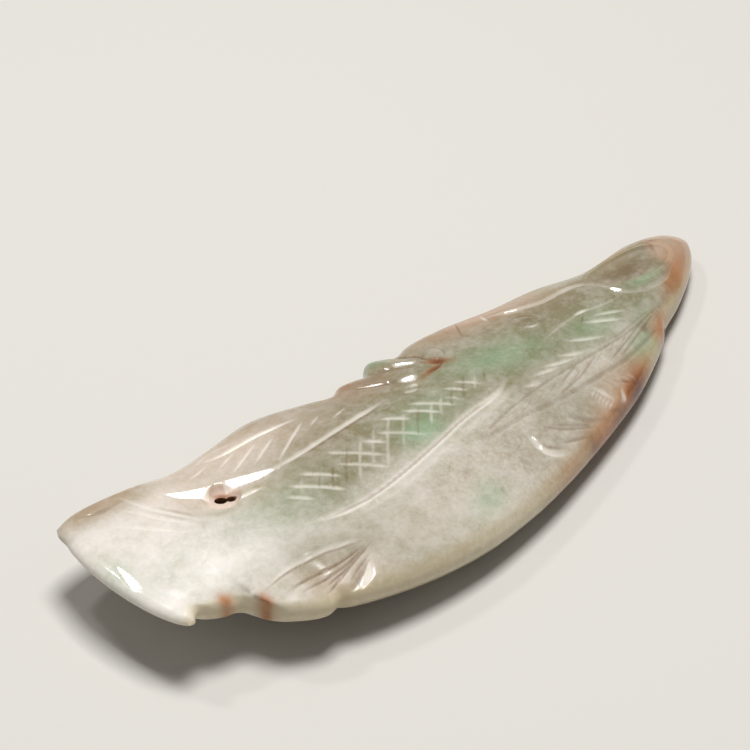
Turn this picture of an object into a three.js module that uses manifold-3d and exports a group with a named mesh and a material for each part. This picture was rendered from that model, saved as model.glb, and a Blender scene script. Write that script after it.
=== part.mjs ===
// A fish carved from one pebble of pale jade, lying on its side with the tail flicked up.
// Millimetres, +X towards the head, +Y towards the back fin, +Z up, origin under the middle of the fish.

import * as THREE from "three";
import { mergeVertices } from "three/addons/utils/BufferGeometryUtils.js";
import Module from "manifold-3d";

// Driving dimensions
const LENGTH = 79;
const HALF_LENGTH = LENGTH / 2;

// Heights along the fish, as polynomials of x / HALF_LENGTH: rim, crown over the rim, and underside
const RIM_HEIGHT = [3.65, -2.4, 1.28, -0.64];
const CROWN_HEIGHT = [4.15, 0, -2.35, 0.5];
const UNDERSIDE_HEIGHT = [-0.78, -0.99, 5.22, -2.04, -1.21];

// The cross-section from belly to back: a rim that turns within a small share of the width, then a low dome
const RIM_SHARE = 0.34;
const RIM_TURN = 0.055;

// The carved face flattens towards the tail: the rim's share there, and how much of the length that takes
const TAIL_RIM_SHARE = 0.8;
const FLAT_TAIL = { byBelly: 0.1, byBack: 0.3 };

// How the ends turn, in shares of the length: a round head, and a tail with a crisp rim on a low dome
const HEAD_TURN = 0.06;
const TAIL_TURN = 0.012;
const TAIL_DOME = 0.06;
const TAIL_CRISPNESS = 0.5;

// How many strips the skin has along the fish and across it
const STRIPS_ALONG = 56;
const STRIPS_ACROSS = 12;

// Wheel-cut grooves: width, depth, and the share of the width that lies left of the way the groove runs
const FINE_CUT = { width: 0.7, depth: 0.35, lean: 0.5 };
const SCALE_CUT = { width: 0.6, depth: 0.3, lean: 0.5 };
const BOLD_CUT = { width: 1.1, depth: 0.5, lean: 0.5 };
const SLOPED_CUT = { width: 1.6, depth: 0.6, lean: 0.7 };

// How the cutters are stepped, tapered and raised above the skin
const CUT_STEP = 3;
const CUT_TAPER = 1.6;
const CUT_END_SHARE = 0.3;
const CUT_LIFT = 0.5;

// The drilled eyelet by the tail and the dish around it
const EYELET = { at: [-24.4, 5.4], diameter: 2, slant: 12, depth: 30, sides: 20 };
const DISH = { at: [-24.6, 5.5], radii: [1.9, 1.9, 1.3] };

// The scooped hollow in the snout and the pit under the bud
const SNOUT_HOLLOW = { at: [30.1, 3.1], radii: [5.1, 2.5, 1.4], turn: -6 };
const BUD_PIT = { at: [4.2, 5.5], radii: [1, 0.55, 1], turn: -45 };
const BALL_SIDES = 16;
const BALL_ROWS = 8;

// The scales: a square net of grooves that runs at 45 degrees to the fish
const SCALES = { from: -20, to: 6.6, pitch: 1.45, middle: 0.2, slope: 0.02, halfWidth: 2.4, endWidth: 1.1 };

// Fins and leaf: where their ribs start, which way they run and how long they are
const TAIL_RAYS = {
  count: 4, from: [-31.4, 10.9], to: [-28, 4], fromStep: [-1.4, -0.3], toStep: [-0.65, -0.15], bow: -0.35,
};
const TAIL_STROKES = { root: [-27.2, 2.4], angles: [204, 236, 252], inner: 2.8, outer: [6.8, 5.3, 6.4] };
const BACK_RAYS = { from: [-22.3, 8.2], step: [1.9, -0.62], angle: 21, lengths: [3.4, 5, 5.6, 5.8, 4.6, 3] };
const BELLY_RAYS = {
  root: [-18.3, -7.9], angles: [176.5, 183, 190, 197], inner: 2.2, outer: [10.2, 9.2, 8.3, 7.2],
};
const VEINS = { count: 6, from: [24.2, -2.8], step: [-2.55, -0.26], angle: 158, turn: 3.6, length: 4.2 };
const LOWER_VEINS = { shift: [1.2, -1.1], angle: 202, length: 2.6, grow: 0.35 };
const THROAT_RAYS = { from: [4.9, -8.5], step: [-0.1, -0.75], angle: -22, lengths: [5.6, 4.8, 4] };

// Single lines of the carving, each through the points its bend needs
const fine = (...points) => ({ points, ...FINE_CUT });
const bold = (...points) => ({ points, ...BOLD_CUT });
const sloped = (...points) => ({ points, ...SLOPED_CUT });

const BACK_FIN_LINES = {
  neck: sloped([-28.8, 10.7], [-27.6, 8.7], [-25.9, 6.7]),
  base: sloped([-22.9, 5.9], [-20.4, 5], [-16.8, 4.5], [-14, 4.5]),
  baseEnd: fine([-14.4, 4.5], [-9.6, 4.5], [-3.4, 4.7]),
  crease: bold([-24.4, 3.8], [-22.4, 3.8], [-20.8, 3.3]),
  margin: bold([-22.6, 10.7], [-19.4, 10.2], [-14.3, 9.4], [-11.2, 9.1]),
};
const BELLY_FIN_LINES = {
  edge: bold([-30.2, -5.9], [-27.5, -5.7], [-23.5, -6.1], [-19.1, -7.2]),
  foot: sloped([-23.6, -10.6], [-21.2, -9.9], [-18.6, -8.6]),
};
const FLANK_LINES = {
  line: bold([-21.2, -2.9], [-16.5, -4.2], [-9, -4.2], [1, -3.2], [6.6, -1.6]),
  nick: fine([-14.4, -4.5], [-14.4, -5.9]),
};
const LEAF_LINES = {
  midrib: fine([28.2, -3.1], [24.2, -3.9], [14.6, -4], [6.7, -4.3], [-1.2, -5.6]),
  edge: bold([25.6, -5.1], [20, -6.2], [12.4, -6.8], [3, -6.6], [-1.7, -5.7]),
  topEdge: fine([23, -0.8], [21, 0.6], [18.7, 0.8], [15.7, 0.2], [11.6, -1]),
};
const THROAT_FIN_LINES = {
  edge: bold([3.1, -7.9], [3, -9.3], [3.9, -10.5], [6, -11.2]),
  top: fine([7.9, -7.9], [8.2, -8.9], [9.6, -9.8], [12.2, -10.5]),
  frill: fine([10.9, -8.2], [12.1, -9.3], [13.8, -10]),
  secondFrill: fine([13.3, -7.5], [14.2, -8.5], [15.6, -9.1]),
};
const BUD_LINES = {
  upper: bold([-3.6, 8.6], [-1.1, 7], [0.6, 5.2], [2.4, 4.6], [4.4, 4.8]),
  lower: fine([-4.8, 6.1], [-1.5, 5.2], [0, 4], [1.8, 3.8], [3.7, 4.2]),
  fold: fine([-2.6, 10.2], [-0.2, 9], [1.6, 7.4], [3.2, 6.3]),
  tip: fine([2.2, 10.4], [3.4, 9], [4.1, 7.7], [4.1, 6.5]),
};
const HEAD_LINES = {
  brow: bold([13.4, 7.9], [15.9, 6.4], [18.6, 5], [21.3, 4.7]),
  overEye: fine([14, 4.8], [15.9, 4.3], [16.4, 2.4]),
  underEye: fine([14, 4.8], [14.5, 2.9], [16.4, 2.4]),
  lip: bold([23.4, 4.5], [24.9, 2.7], [26.1, 0.4], [28.5, -0.8], [30.6, -0.8], [33, 0]),
};

// The outline, seen from above
const TAIL_EDGE = [
  [-37.3, -3.9], [-37.9, -3.1], [-38.8, -0.6], [-39.4, 3.3], [-39.5, 6.6], [-39.1, 10.2], [-38.7, 11.6],
  [-38.6, 12.7], [-38, 13.7],
];
const BACK_EDGE = [
  [-38, 13.7], [-36.1, 14], [-33.1, 13.9], [-28.6, 13.4], [-25.6, 12.7], [-23.5, 12.6], [-19.6, 13],
  [-14.6, 13.5], [-11.6, 13], [-8, 11.8], [-5.3, 10.8], [-3.8, 11.3], [-2.2, 11], [-0.9, 10.7],
  [0.6, 11.9], [2, 11.4], [3.2, 10.7], [5.4, 11.1], [9.4, 10.7], [15.4, 9.4], [21.2, 8.5], [26.7, 6.8],
  [33.4, 6.8], [36.5, 6.4],
];
const HEAD_EDGE = [[37.7, 0.8], [38.8, 1.9], [39.5, 3.2], [38.9, 4.6], [37.9, 5.5], [36.5, 6.4]];
const BELLY_EDGE = [
  [-37.3, -3.9], [-36.7, -3.9], [-36.2, -3.4], [-35.6, -3.3], [-34.4, -4.1], [-33, -4.7], [-31.8, -4.9],
  [-30.6, -5.9], [-29.7, -8], [-28, -9.4], [-25.8, -10.4], [-24.2, -10.2], [-23, -10.9], [-19.6, -12.1],
  [-14.6, -13.3], [-8.6, -13.95], [-3.6, -13.8], [2.4, -13.1], [11.9, -11], [19.1, -8.8], [26.1, -5.5],
  [27.7, -4.3], [31.8, -2.6], [35.6, -0.6], [37.7, 0.8],
];

const wasm = await Module();
wasm.setup();

const degrees = THREE.MathUtils.degToRad;
const polynomial = (terms, u) => terms.reduce((sum, term, power) => sum + term * u ** power, 0);

function planCurve(points) {
  const places = points.map(([x, y]) => new THREE.Vector3(x, y, 0));
  return new THREE.CatmullRomCurve3(places, false, "centripetal");
}

function polar([x, y], angle, radius) {
  return [x + radius * Math.cos(degrees(angle)), y + radius * Math.sin(degrees(angle))];
}

function stepped([x, y], [stepX, stepY], times) {
  return [x + stepX * times, y + stepY * times];
}

// The skin: a net of places inside the outline, blended from its four edges, raised to a crown and a keel

const edges = {
  tail: planCurve(TAIL_EDGE),
  back: planCurve(BACK_EDGE),
  head: planCurve(HEAD_EDGE),
  belly: planCurve(BELLY_EDGE),
};

function planPlace(along, across) {
  const sides = edges.belly.getPointAt(along).lerp(edges.back.getPointAt(along), across);
  const ends = edges.tail.getPointAt(across).lerp(edges.head.getPointAt(across), along);
  const low = edges.belly.getPointAt(0).lerp(edges.belly.getPointAt(1), along);
  const high = edges.back.getPointAt(0).lerp(edges.back.getPointAt(1), along);
  return sides.add(ends).sub(low.lerp(high, across));
}

// A quarter circle that rises from 0 at the rim to 1 at the end of the turn
function turned(distance, turn) {
  const left = 1 - Math.min(1, distance / turn);
  return Math.sqrt(1 - left ** 2);
}

function fullness(along, across, isTop) {
  const flatLength = THREE.MathUtils.lerp(FLAT_TAIL.byBelly, FLAT_TAIL.byBack, across);
  const flatness = isTop ? Math.max(0, 1 - along / flatLength) ** 2 : 0;
  const share = THREE.MathUtils.lerp(RIM_SHARE, TAIL_RIM_SHARE, flatness);
  const dome = 1 - (2 * across - 1) ** 2;
  const section = THREE.MathUtils.lerp(dome, turned(Math.min(across, 1 - across), RIM_TURN), share);
  const tailDome = 1 - (1 - Math.min(1, along / TAIL_DOME)) ** 2;
  const tail = THREE.MathUtils.lerp(tailDome, turned(along, TAIL_TURN), TAIL_CRISPNESS);
  return section * tail * turned(1 - along, HEAD_TURN);
}

// Strips are narrow at the rim, where the skin bends most
const eased = (index, count) => (1 - Math.cos((Math.PI * index) / count)) / 2;
const halfEased = (index, count) => (eased(index, count) + (2 * index) / count) / 3;

function meshGeometry(positions, triangles) {
  const geometry = new THREE.BufferGeometry();
  geometry.setAttribute("position", new THREE.Float32BufferAttribute(positions, 3));
  geometry.setIndex(triangles);
  return geometry;
}

function skin() {
  const positions = [];
  const triangles = [];
  const columns = STRIPS_ACROSS + 1;
  for (const isTop of [true, false]) {
    const start = positions.length / 3;
    for (let i = 0; i <= STRIPS_ALONG; i += 1) {
      for (let j = 0; j <= STRIPS_ACROSS; j += 1) {
        const along = halfEased(i, STRIPS_ALONG);
        const across = eased(j, STRIPS_ACROSS);
        const place = planPlace(along, across);
        const u = place.x / HALF_LENGTH;
        const rim = polynomial(RIM_HEIGHT, u);
        const limit = isTop ? rim + polynomial(CROWN_HEIGHT, u) : polynomial(UNDERSIDE_HEIGHT, u);
        positions.push(place.x, place.y, THREE.MathUtils.lerp(rim, limit, fullness(along, across, isTop)));
      }
    }
    for (let i = 0; i < STRIPS_ALONG; i += 1) {
      for (let j = 0; j < STRIPS_ACROSS; j += 1) {
        const a = start + i * columns + j;
        const b = a + columns;
        const quad = [a, b, b + 1, a, b + 1, a + 1];
        triangles.push(...(isTop ? quad : quad.reverse()));
      }
    }
  }
  return mergeVertices(meshGeometry(positions, triangles));
}

function solid(geometry) {
  const bare = geometry.clone();
  bare.deleteAttribute("normal");
  bare.deleteAttribute("uv");
  const merged = mergeVertices(bare);
  const vertProperties = new Float32Array(merged.attributes.position.array);
  const triVerts = new Uint32Array(merged.index.array);
  return new wasm.Manifold(new wasm.Mesh({ numProp: 3, vertProperties, triVerts }));
}

const skinMesh = new THREE.Mesh(skin());
const DROP_HEIGHT = 60;

function topHeight(x, y) {
  const ray = new THREE.Raycaster(new THREE.Vector3(x, y, DROP_HEIGHT), new THREE.Vector3(0, 0, -1));
  const [hit] = ray.intersectObject(skinMesh);
  return hit ? hit.point.z : polynomial(RIM_HEIGHT, x / HALF_LENGTH);
}

// Cutters: a V-shaped boat along a curve for a groove, a flattened ball for a hollow, a drill, the table

function grooveCutter({ points, width, depth, lean }) {
  const curve = planCurve(points);
  const length = curve.getLength();
  const steps = Math.max(2, Math.round(length / CUT_STEP));
  const positions = [];
  const triangles = [];
  for (let i = 0; i <= steps; i += 1) {
    const place = curve.getPointAt(i / steps);
    const ahead = curve.getTangentAt(i / steps);
    const toEnd = (length * Math.min(i, steps - i)) / steps;
    const share = Math.max(CUT_END_SHARE, Math.min(1, toEnd / CUT_TAPER));
    const height = topHeight(place.x, place.y);
    const reach = width * (share + CUT_LIFT / depth);
    for (const side of [reach * lean, reach * (lean - 1)]) {
      const x = place.x - ahead.y * side;
      const y = place.y + ahead.x * side;
      positions.push(x, y, Math.max(height, topHeight(x, y)) + CUT_LIFT);
    }
    positions.push(place.x, place.y, height - depth * share);
  }
  for (let i = 0; i < steps; i += 1) {
    for (let k = 0; k < 3; k += 1) {
      const a = 3 * i + k;
      const b = 3 * i + ((k + 1) % 3);
      triangles.push(a, b + 3, a + 3, a, b, b + 3);
    }
  }
  const last = 3 * steps;
  triangles.push(0, 2, 1, last, last + 1, last + 2);
  return meshGeometry(positions, triangles);
}

function hollowCutter({ at: [x, y], radii, turn = 0 }) {
  const ball = new THREE.SphereGeometry(1, BALL_SIDES, BALL_ROWS);
  ball.rotateX(Math.PI / 2);
  ball.scale(...radii);
  ball.rotateZ(degrees(turn));
  ball.translate(x, y, topHeight(x, y));
  return ball;
}

function drill({ at: [x, y], diameter, slant, depth, sides }) {
  const rod = new THREE.CylinderGeometry(diameter / 2, diameter / 2, depth, sides);
  rod.rotateX(Math.PI / 2);
  rod.rotateY(degrees(slant));
  rod.translate(x, y, topHeight(x, y));
  return rod;
}

const TABLE = { width: 200, depth: 20 };

function tableBlock() {
  const block = new THREE.BoxGeometry(TABLE.width, TABLE.width, TABLE.depth);
  block.translate(0, 0, -TABLE.depth / 2);
  return block;
}

// The carving: rays, scales and veins that repeat

function bowed(from, to, bow) {
  const [dx, dy] = [to[0] - from[0], to[1] - from[1]];
  const length = Math.hypot(dx, dy);
  const middle = [(from[0] + to[0]) / 2 - (dy / length) * bow, (from[1] + to[1]) / 2 + (dx / length) * bow];
  return [from, middle, to];
}

// Rays that spread from a fin's root, each from an inner to an outer radius
function fan({ root, angles, inner, outer }) {
  return angles.map((angle, i) => fine(polar(root, angle, inner), polar(root, angle, outer[i])));
}

// Rays side by side like the teeth of a comb, all at one angle
function comb({ from, step, angle, lengths }) {
  return lengths.map((length, i) => {
    const start = stepped(from, step, i);
    return fine(start, polar(start, angle, length));
  });
}

// Bowed rays over the tail
function tailRays() {
  return Array.from({ length: TAIL_RAYS.count }, (_, i) => {
    const from = stepped(TAIL_RAYS.from, TAIL_RAYS.fromStep, i);
    const to = stepped(TAIL_RAYS.to, TAIL_RAYS.toStep, i);
    return fine(...bowed(from, to, TAIL_RAYS.bow));
  });
}

// Both families of the net, each groove clipped to the band of scales
function scales() {
  const grooves = [];
  const middleX = (SCALES.from + SCALES.to) / 2;
  const halfSpan = (SCALES.to - SCALES.from) / 2;
  const stepAlong = SCALES.pitch * Math.SQRT2;
  for (let x = SCALES.from; x <= SCALES.to; x += stepAlong) {
    const bulge = Math.sqrt(1 - ((x - middleX) / halfSpan) ** 2);
    const reach = THREE.MathUtils.lerp(SCALES.endWidth, SCALES.halfWidth, bulge);
    const y = SCALES.middle + SCALES.slope * (x - middleX);
    for (const lean of [1, -1]) {
      grooves.push({ points: [[x - lean * reach, y - reach], [x + lean * reach, y + reach]], ...SCALE_CUT });
    }
  }
  return grooves;
}

// The long leaf that the fish trails from its mouth, with veins above and below its midrib
function veins() {
  const grooves = [];
  for (let i = 0; i < VEINS.count; i += 1) {
    const root = stepped(VEINS.from, VEINS.step, i);
    const lowerRoot = stepped(root, LOWER_VEINS.shift, 1);
    const upper = polar(root, VEINS.angle + VEINS.turn * i, VEINS.length);
    const lower = polar(lowerRoot, LOWER_VEINS.angle, LOWER_VEINS.length + LOWER_VEINS.grow * i);
    grooves.push(fine(root, upper), fine(lowerRoot, lower));
  }
  return grooves;
}

function carvedFish() {
  const lines = [
    BACK_FIN_LINES, BELLY_FIN_LINES, FLANK_LINES, LEAF_LINES, THROAT_FIN_LINES, BUD_LINES, HEAD_LINES,
  ].flatMap(Object.values);
  const fans = [TAIL_STROKES, BELLY_RAYS].flatMap(fan);
  const combs = [BACK_RAYS, THROAT_RAYS].flatMap(comb);
  const grooves = [...lines, ...fans, ...combs, ...tailRays(), ...scales(), ...veins()];
  const hollows = [DISH, SNOUT_HOLLOW, BUD_PIT];
  const cutters = [tableBlock(), drill(EYELET), ...hollows.map(hollowCutter), ...grooves.map(grooveCutter)];
  const carved = cutters.reduce((body, cutter) => body.subtract(solid(cutter)), solid(skinMesh.geometry));
  const { vertProperties, triVerts } = carved.getMesh();
  const geometry = meshGeometry(vertProperties, Array.from(triVerts));
  geometry.computeVertexNormals();
  return geometry;
}

const jade = new THREE.MeshStandardMaterial({ color: 0xcdc8b8, roughness: 0.2, metalness: 0 });
const jadeFish = new THREE.Mesh(carvedFish(), jade);
jadeFish.name = "jade_fish";

const fish = new THREE.Group();
fish.add(jadeFish);

export default fish;
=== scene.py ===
# %% [markdown]
# # A jade fish, carved from one pebble
# The real thing is a flat fish, about 79 mm long, ground and polished from one piece of pale jade.
# It lies on its side with the tail flicked up, trails a long leaf from its mouth and has a drilled eyelet.
# A jade carver has only wheels and grit, so everything on it is a smooth pebble form, a groove or a hollow.
# The lesson follows that order: pebble first, then grooves, then hollows, then the stone itself.

import math

import bpy
import numpy as np
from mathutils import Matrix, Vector


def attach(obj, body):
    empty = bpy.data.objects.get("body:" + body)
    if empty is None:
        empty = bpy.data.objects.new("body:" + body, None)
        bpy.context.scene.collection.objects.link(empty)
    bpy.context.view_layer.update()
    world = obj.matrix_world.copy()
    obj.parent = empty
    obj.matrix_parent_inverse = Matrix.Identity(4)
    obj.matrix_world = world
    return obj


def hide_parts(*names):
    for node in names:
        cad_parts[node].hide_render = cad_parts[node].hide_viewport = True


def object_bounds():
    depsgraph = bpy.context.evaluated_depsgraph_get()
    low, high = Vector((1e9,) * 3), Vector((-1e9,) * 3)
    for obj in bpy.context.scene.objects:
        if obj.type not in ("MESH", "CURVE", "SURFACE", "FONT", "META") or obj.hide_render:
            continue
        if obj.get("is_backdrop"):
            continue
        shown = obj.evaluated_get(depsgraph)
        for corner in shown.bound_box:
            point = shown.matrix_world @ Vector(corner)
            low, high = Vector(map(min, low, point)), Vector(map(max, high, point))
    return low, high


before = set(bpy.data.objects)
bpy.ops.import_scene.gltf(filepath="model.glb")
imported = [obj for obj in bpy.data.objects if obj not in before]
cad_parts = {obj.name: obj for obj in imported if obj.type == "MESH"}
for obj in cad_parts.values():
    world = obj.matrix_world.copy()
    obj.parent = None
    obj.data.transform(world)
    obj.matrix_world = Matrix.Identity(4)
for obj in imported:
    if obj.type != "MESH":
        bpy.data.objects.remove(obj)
CAD_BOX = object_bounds()
MM = 0.001
print("solid's box in mm:", [round(v / MM, 2) for corner in CAD_BOX for v in corner])

# %% [markdown]
# ## The outline
# Seen from above, the fish is a long boat with a square tail on the left, a hooked notch beside its belly fin
# and two small curled leaves on its back.
# Four curves hold this: tail, back, head and belly. A curve through a few points is easy to correct, and the
# centripetal kind never overshoots where points crowd together, as they do at the notch.

# %% Four edges, in millimetres
TAIL_EDGE = [(-37.3, -3.9), (-37.9, -3.1), (-38.8, -0.6), (-39.4, 3.3), (-39.5, 6.6), (-39.1, 10.2),
             (-38.7, 11.6), (-38.6, 12.7), (-38, 13.7)]
BACK_EDGE = [(-38, 13.7), (-36.1, 14), (-33.1, 13.9), (-28.6, 13.4), (-25.6, 12.7), (-23.5, 12.6),
             (-19.6, 13), (-14.6, 13.5), (-11.6, 13), (-8, 11.8), (-5.3, 10.8), (-3.8, 11.3), (-2.2, 11),
             (-0.9, 10.7), (0.6, 11.9), (2, 11.4), (3.2, 10.7), (5.4, 11.1), (9.4, 10.7), (15.4, 9.4),
             (21.2, 8.5), (26.7, 6.8), (33.4, 6.8), (36.5, 6.4)]
HEAD_EDGE = [(37.7, 0.8), (38.8, 1.9), (39.5, 3.2), (38.9, 4.6), (37.9, 5.5), (36.5, 6.4)]
BELLY_EDGE = [(-37.3, -3.9), (-36.7, -3.9), (-36.2, -3.4), (-35.6, -3.3), (-34.4, -4.1), (-33, -4.7),
              (-31.8, -4.9), (-30.6, -5.9), (-29.7, -8), (-28, -9.4), (-25.8, -10.4), (-24.2, -10.2),
              (-23, -10.9), (-19.6, -12.1), (-14.6, -13.3), (-8.6, -13.95), (-3.6, -13.8), (2.4, -13.1),
              (11.9, -11), (19.1, -8.8), (26.1, -5.5), (27.7, -4.3), (31.8, -2.6), (35.6, -0.6),
              (37.7, 0.8)]


def smooth(points, per_span=12):
    """A centripetal curve through the points, as many short straight pieces."""
    p = np.array(points, float)
    p = np.vstack([2 * p[0] - p[1], p, 2 * p[-1] - p[-2]])
    pieces = []
    for a, b, c, d in zip(p, p[1:], p[2:], p[3:]):
        t1 = np.linalg.norm(b - a) ** 0.5
        t2 = t1 + np.linalg.norm(c - b) ** 0.5
        t3 = t2 + np.linalg.norm(d - c) ** 0.5
        t = np.linspace(t1, t2, per_span, endpoint=False)[:, None]
        ab = (a * (t1 - t) + b * t) / t1
        bc = (b * (t2 - t) + c * (t - t1)) / (t2 - t1)
        cd = (c * (t3 - t) + d * (t - t2)) / (t3 - t2)
        early = (ab * (t2 - t) + bc * t) / t2
        late = (bc * (t3 - t) + cd * (t - t1)) / (t3 - t1)
        pieces.append((early * (t2 - t) + late * (t - t1)) / (t2 - t1))
    return np.vstack(pieces + [p[-2:-1]])


def at_share(line, share):
    """Places on a line of short pieces, at these shares of its length."""
    reach = np.concatenate([[0], np.cumsum(np.linalg.norm(np.diff(line, axis=0), axis=1))])
    return np.stack([np.interp(share, reach / reach[-1], line[:, k]) for k in (0, 1)], axis=-1)


edges = {name: smooth(points) for name, points in
         {"tail": TAIL_EDGE, "back": BACK_EDGE, "head": HEAD_EDGE, "belly": BELLY_EDGE}.items()}
print("outline pieces:", {name: len(line) - 1 for name, line in edges.items()})

# %% [markdown]
# ## The pebble
# A sheet stretched between four edges is a Coons patch: each place blends the two sides and the two ends.
# The sheet then gets a rim height, a crown over it and a keel under it, each a short polynomial along the
# fish, and a section that turns quickly at the rim and then is a low dome. Towards the tail the carved face
# flattens, over a longer stretch by the back than by the belly, where the rim stays thin.
# Subdivision or sculpting would also give a pebble, but here the same few numbers also gave the solid,
# so both agree everywhere.

# %% Heights along the fish, and the section across it
HALF_LENGTH = 39.5
RIM = (3.65, -2.4, 1.28, -0.64)
CROWN = (4.15, 0, -2.35, 0.5)
KEEL = (-0.78, -0.99, 5.22, -2.04, -1.21)
RIM_SHARE, TAIL_RIM_SHARE, FLAT_BY_BELLY, FLAT_BY_BACK = 0.34, 0.8, 0.1, 0.3
RIM_TURN, HEAD_TURN, TAIL_TURN, TAIL_DOME, TAIL_CRISPNESS = 0.055, 0.06, 0.012, 0.06, 0.5


def plan(along, across):
    """Where a place of the sheet lies, seen from above."""
    s, t = along[..., None], across[..., None]
    sides = at_share(edges["belly"], along) * (1 - t) + at_share(edges["back"], along) * t
    ends = at_share(edges["tail"], across) * (1 - s) + at_share(edges["head"], across) * s
    low = edges["belly"][0] * (1 - s) + edges["belly"][-1] * s
    high = edges["back"][0] * (1 - s) + edges["back"][-1] * s
    return sides + ends - low * (1 - t) - high * t


def turned(distance, turn):
    """A quarter circle that rises from 0 at the rim to 1 where the turn ends."""
    return np.sqrt(1 - (1 - np.clip(distance / turn, 0, 1)) ** 2)


def fullness(along, across, tail_rim_share):
    """0 at the rim, 1 in the middle of the fish. The head's end is round, the tail's end has a crisp rim."""
    flat_tail = FLAT_BY_BELLY + (FLAT_BY_BACK - FLAT_BY_BELLY) * across
    share = RIM_SHARE + (tail_rim_share - RIM_SHARE) * np.clip(1 - along / flat_tail, 0, 1) ** 2
    dome = 1 - (2 * across - 1) ** 2
    section = share * turned(np.minimum(across, 1 - across), RIM_TURN) + (1 - share) * dome
    tail_dome = 1 - (1 - np.clip(along / TAIL_DOME, 0, 1)) ** 2
    tail = TAIL_CRISPNESS * turned(along, TAIL_TURN) + (1 - TAIL_CRISPNESS) * tail_dome
    return section * tail * turned(1 - along, HEAD_TURN)


def along_fish(terms, x):
    """A height at x, from a polynomial of the share of the fish's half length."""
    return sum(term * (x / HALF_LENGTH) ** power for power, term in enumerate(terms))


# %% A fine net of places
STRIPS_ALONG, STRIPS_ACROSS = 496, 168
ALONG_CROWDING, ACROSS_CROWDING = 0.25, 0.35


def crowded(count, share):
    """Steps from 0 to 1 that crowd a little towards both ends, where the skin turns over the rim."""
    even = np.linspace(0, 1, count + 1)
    return (1 - share) * even + share * (1 - np.cos(np.pi * even)) / 2


along, across = np.meshgrid(crowded(STRIPS_ALONG, ALONG_CROWDING), crowded(STRIPS_ACROSS, ACROSS_CROWDING),
                            indexing="ij")
place = plan(along, across)
px, py = place[..., 0], place[..., 1]
full = fullness(along, across, TAIL_RIM_SHARE)
rim = along_fish(RIM, px)
face = rim + along_fish(CROWN, px) * full
keel = np.maximum(rim + (along_fish(KEEL, px) - rim) * fullness(along, across, RIM_SHARE), 0)
print("carved face:", face.size, "places, from", round(face.min(), 2), "to", round(face.max(), 2), "mm high")

# %% [markdown]
# ## Wheel-cut grooves
# A carver draws with the rim of a small spinning wheel. Each pass leaves a V that starts and ends in a point.
# The wall that faces the light shines, so a cut reads as a white line; stain that stays in it reads as brown.
# The paint in the cuts adds to both: pale is ground stone and painted highlight, brown is stain and painted
# shade.
# A groove could be a bump in the material, but then its edge would be flat from the side.
# Here each stroke lowers the net itself: the depth at a place comes from its distance to the stroke's curve.
# With the flat of the wheel the carver also grinds facets: small planes that meet the skin at a slant.

# %% The stroke and the facet
strokes, facets = [], []


def drawn(points):
    """A smooth line through three points or more, or a straight one between two."""
    return smooth(points) if len(points) > 2 else np.linspace(*np.array(points, float), 9)


def stroke(points, width=0.5, depth=0.17, tone=0.6, far=0.5, taper=1.2):
    """One pass of the wheel. far is the share of its width that lies to the left of its way.

    A tone above 0 paints pale ground stone and painted highlight, a tone below 0 brown stain and painted
    shade.
    """
    strokes.append({"line": drawn(points), "width": width, "depth": depth, "tone": tone, "far": far,
                    "taper": taper})


def facet(points, meets, slope, deepest=1.0, wide=2.5, near=0.5, tone=0.5):
    """A plane left of this line. It meets the skin at one place and rises by slope per mm along x and y."""
    facets.append({"line": drawn(points), "meets": meets, "slope": slope, "deepest": deepest, "wide": wide,
                   "near": near, "tone": tone})


def spread(starts, ends, **cut):
    """Rays side by side, each with its own start and end."""
    for start, end in zip(starts, ends):
        stroke([start, end], **cut)


def bow(start, end, sag):
    """Three points: start, a middle pushed sideways, end."""
    start, end = np.array(start, float), np.array(end, float)
    side = np.array([start[1] - end[1], end[0] - start[0]]) / np.linalg.norm(end - start)
    return [start, (start + end) / 2 + side * sag, end]


# %% [markdown]
# ### Tail and back fin
# Fine bowed rays fan over the tail, with a few faint ones below them, and a narrow facet on the rim gleams.
# The back fin stands behind two facets, one on each side of the eyelet, the brightest things on the fish.
# From there a double line runs on towards the head. Slanting rays cross the fin, and a bold line runs inside
# its margin.

# %% Cut the tail
for line in ([(-31.4, 12.4), (-31.3, 11.1), (-30.6, 8.8), (-29.4, 6.5), (-28.1, 3.9)],
             [(-32.9, 11), (-31.8, 9), (-31.1, 7.4), (-29.4, 4.6), (-28.7, 3.5)],
             [(-34.9, 9.5), (-33.8, 8.2), (-32.2, 6.1), (-30.2, 3.6)]):
    stroke(line, width=0.7, depth=0.12, tone=0.4, far=0.65, taper=3)
# The two dark strokes next to the fan lines are painted shade on one side of each flute.
stroke([(-30.5, 9.2), (-29.4, 7.3), (-27.8, 3.9)], width=0.6, depth=0.12, tone=-0.25, far=0.7, taper=3)
stroke([(-31.3, 9.2), (-30, 6.8), (-28.5, 3.9)], width=0.55, depth=0.1, tone=-0.15, far=0.7, taper=3)
stroke([(-36.3, 13.2), (-35.1, 12.3), (-32.8, 11.9), (-31.4, 11.8)], width=0.9, depth=0.16, tone=-0.25,
       far=0.3, taper=3)
for start, end in [((-29.9, 1.3), (-33.3, -0.2)), ((-28.9, 1.3), (-30, -1.6)), ((-28.2, -0.6), (-29, -3))]:
    stroke(bow(start, end, 0.2), width=0.45, depth=0.07, tone=0.3, taper=2)
facet([(-37.8, 6.1), (-38.15, 4.9), (-38.47, 3.7), (-38.68, 2.7), (-38.85, 1.7)], meets=(-37.75, 4.2),
      slope=(0.28, 0.028), deepest=0.35, wide=1.2, near=0.3, tone=0.1)
print("tail:", len(strokes), "strokes and", len(facets), "facet")

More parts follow.
